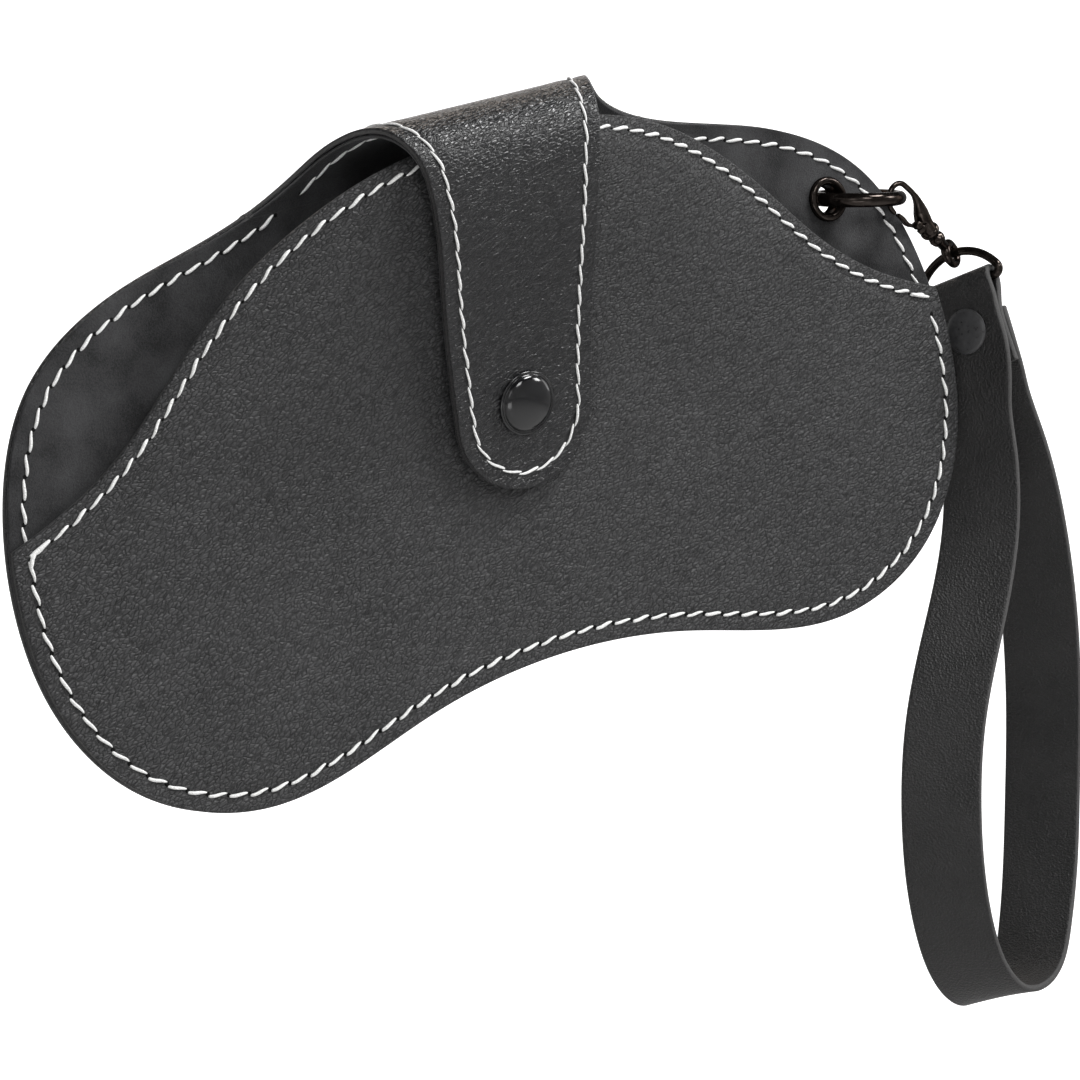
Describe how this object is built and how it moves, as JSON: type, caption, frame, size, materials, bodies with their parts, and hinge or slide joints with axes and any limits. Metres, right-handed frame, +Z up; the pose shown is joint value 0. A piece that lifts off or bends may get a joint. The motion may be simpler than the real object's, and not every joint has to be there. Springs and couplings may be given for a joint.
{
  "type": "soft pouch glasses case",
  "caption": "Soft kidney-shaped leather pouch for glasses with a snap flap, an eyelet, a ring, a swivel clasp and a looped wrist strap.",
  "frame": {"origin": "centre of the flat back face of the case", "axes": "+Z up with the eyelet end tipped up, -Y out of the front, +X towards the eyelet end"},
  "size_m": [0.2109, 0.0324, 0.1577],
  "materials": {
    "case_leather": "fine pebble grain, semi-matt",
    "lining": "matt suede",
    "thread": "waxed thread",
    "black_metal": "glossy black plating",
    "snap_steel": "satin",
    "strap_leather": "fine grain, semi-matt",
    "rivet_metal": "satin dark plating"
  },
  "bodies": {
    "case": {"back_panel": "case_leather", "back_lining": "lining", "front_panel": "case_leather", "front_lining": "lining", "perimeter_stitching": "thread", "mouth_stitching": "thread", "top_edge_stitching": "thread", "bar_tacks": "thread", "eyelet_grommet": "black_metal", "eyelet_washer": "black_metal", "snap_stud": "snap_steel", "snap_stud_backing": "snap_steel"},
    "flap": {"flap_panel": "case_leather", "flap_lining": "lining", "flap_stitching": "thread", "snap_cap": "black_metal", "snap_socket": "snap_steel"},
    "ring": {"carry_ring": "black_metal"},
    "clasp": {"clasp_body": "black_metal", "gate_pin": "black_metal", "gate_spring": "snap_steel"},
    "gate": {"clasp_gate": "black_metal"},
    "swivel": {"swivel_eye": "black_metal"},
    "d_ring": {"d_ring": "black_metal"},
    "strap": {"wrist_strap": "strap_leather", "strap_rivet_cap": "rivet_metal", "strap_rivet_back": "rivet_metal"}
  },
  "joints": [
    {"name": "flap_hinge", "type": "hinge", "parent": "case", "child": "flap", "pos_m": [-0.01385, -0.01274, 0.05319], "axis": [-0.9677, 0, -0.2521], "range_deg": [0, 150]},
    {"name": "ring_swing", "type": "hinge", "parent": "case", "child": "ring", "pos_m": [0.06495, -0.0009, 0.04182], "axis": [0, -1, 0], "range_deg": [0, 40]},
    {"name": "clasp_swing", "type": "hinge", "parent": "ring", "child": "clasp", "pos_m": [0.07899, -0.00337, 0.04269], "axis": [0.1976, -0.973, -0.1197], "range_deg": [0, 40]},
    {"name": "gate_hinge", "type": "hinge", "parent": "clasp", "child": "gate", "pos_m": [0.08518, -0.00154, 0.03807], "axis": [-0.1976, 0.973, 0.1197], "range_deg": [0, 12], "stiffness_Nm_per_rad": 0.002, "springref_deg": -11.46},
    {"name": "swivel_spin", "type": "hinge", "parent": "clasp", "child": "swivel", "pos_m": [0.094, 0.0008, 0.0336], "axis": [0.8321, 0.231, -0.5042], "range_deg": [-35, 25]},
    {"name": "d_ring_swing", "type": "hinge", "parent": "swivel", "child": "d_ring", "pos_m": [0.094, 0.0008, 0.0336], "axis": [0.3466, -0.8886, 0.3005], "range_deg": [0, 35]},
    {"name": "strap_swing", "type": "hinge", "parent": "d_ring", "child": "strap", "pos_m": [0.09469, -0.00098, 0.02754], "axis": [0.3466, -0.8886, 0.3005], "range_deg": [0, 45]}
  ]
}
